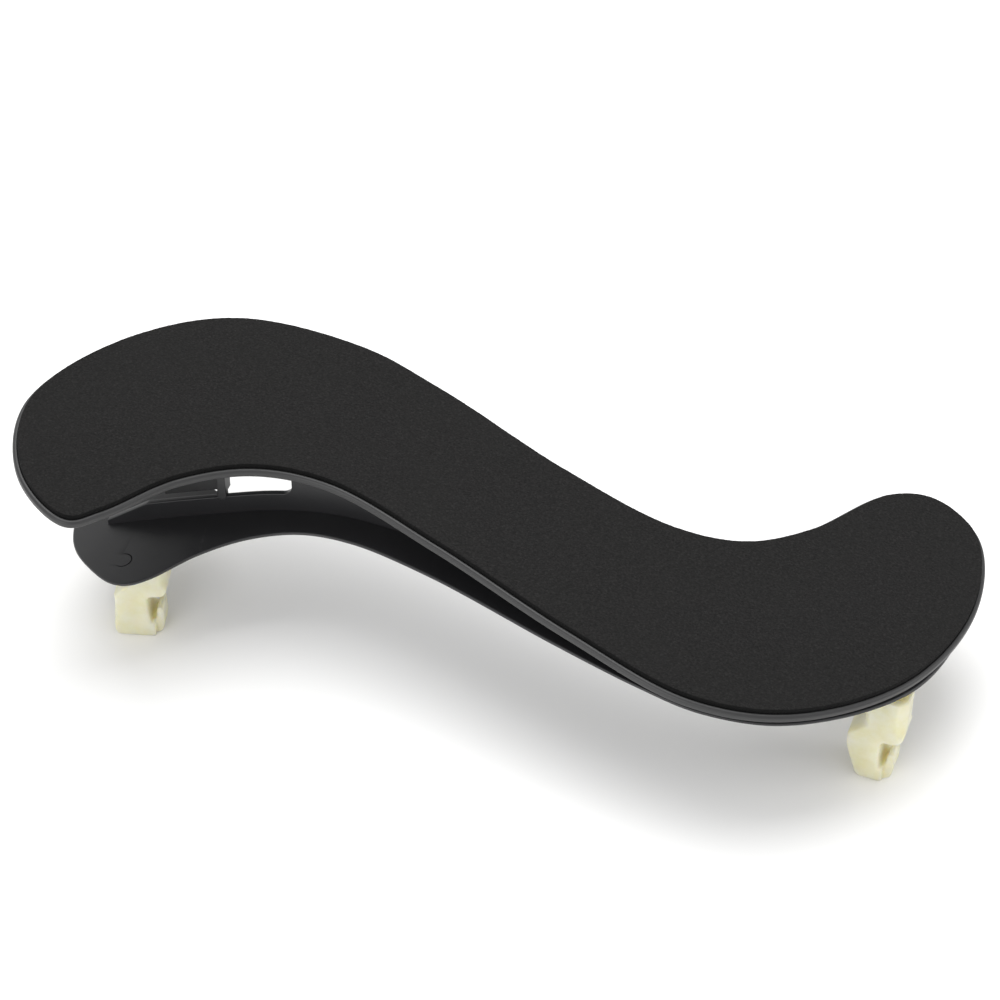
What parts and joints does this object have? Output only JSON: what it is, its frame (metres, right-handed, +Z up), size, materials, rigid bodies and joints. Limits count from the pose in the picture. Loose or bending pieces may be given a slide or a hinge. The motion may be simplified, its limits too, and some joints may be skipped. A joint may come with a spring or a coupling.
{
  "type": "violin shoulder rest",
  "caption": "S-shaped padded rest that clips under a violin's lower end: a tilted foam-covered plate on an arched base, held off the body by swivelling rubber claws.",
  "frame": {"origin": "centre of the bounding box's bottom face, on the plane that the claws stand on", "axes": "+X along the rest from the raised end to the low end, +Y across it to the far side, +Z up from the claws to the foam"},
  "size_m": [0.2456, 0.0986, 0.0672],
  "materials": {
    "upper_plastic": "satin black moulded plastic with a rounded rim",
    "lower_plastic": "satin black moulded plastic, slightly smoother than the upper plate",
    "foam": "dense black foam with a fine matt grain",
    "film": "dull adhesive film under the foam",
    "steel": "zinc-plated steel",
    "claw_core": "amber nylon, slightly see-through",
    "claw_rubber": "soft translucent pale yellow rubber"
  },
  "bodies": {
    "root": {"pad_plate": "upper_plastic", "pad_film": "film", "foam_pad": "foam", "lap_screw_1": "steel", "lap_screw_2": "steel", "lap_screw_3": "steel", "base_plate": "lower_plastic", "guide_rib": "upper_plastic"},
    "claw_near_left": {"claw_core_near_left": "claw_core", "claw_boot_near_left": "claw_rubber", "claw_stud_near_left": "steel"},
    "claw_far_left": {"claw_core_far_left": "claw_core", "claw_boot_far_left": "claw_rubber", "claw_stud_far_left": "steel"},
    "claw_near_right": {"claw_core_near_right": "claw_core", "claw_boot_near_right": "claw_rubber", "claw_stud_near_right": "steel"},
    "claw_far_right": {"claw_core_far_right": "claw_core", "claw_boot_far_right": "claw_rubber", "claw_stud_far_right": "steel"}
  },
  "joints": [
    {"name": "swivel_near_left", "type": "hinge", "parent": "root", "child": "claw_near_left", "pos_m": [-0.08932, -0.02339, 0], "axis": [0, 0, 1], "continuous": true},
    {"name": "swivel_far_left", "type": "hinge", "parent": "root", "child": "claw_far_left", "pos_m": [-0.10272, 0.01161, 0], "axis": [0, 0, 1], "continuous": true},
    {"name": "swivel_near_right", "type": "hinge", "parent": "root", "child": "claw_near_right", "pos_m": [0.10738, -0.01179, 0], "axis": [0, 0, 1], "continuous": true},
    {"name": "swivel_far_right", "type": "hinge", "parent": "root", "child": "claw_far_right", "pos_m": [0.09228, 0.02511, 0], "axis": [0, 0, 1], "continuous": true}
  ]
}
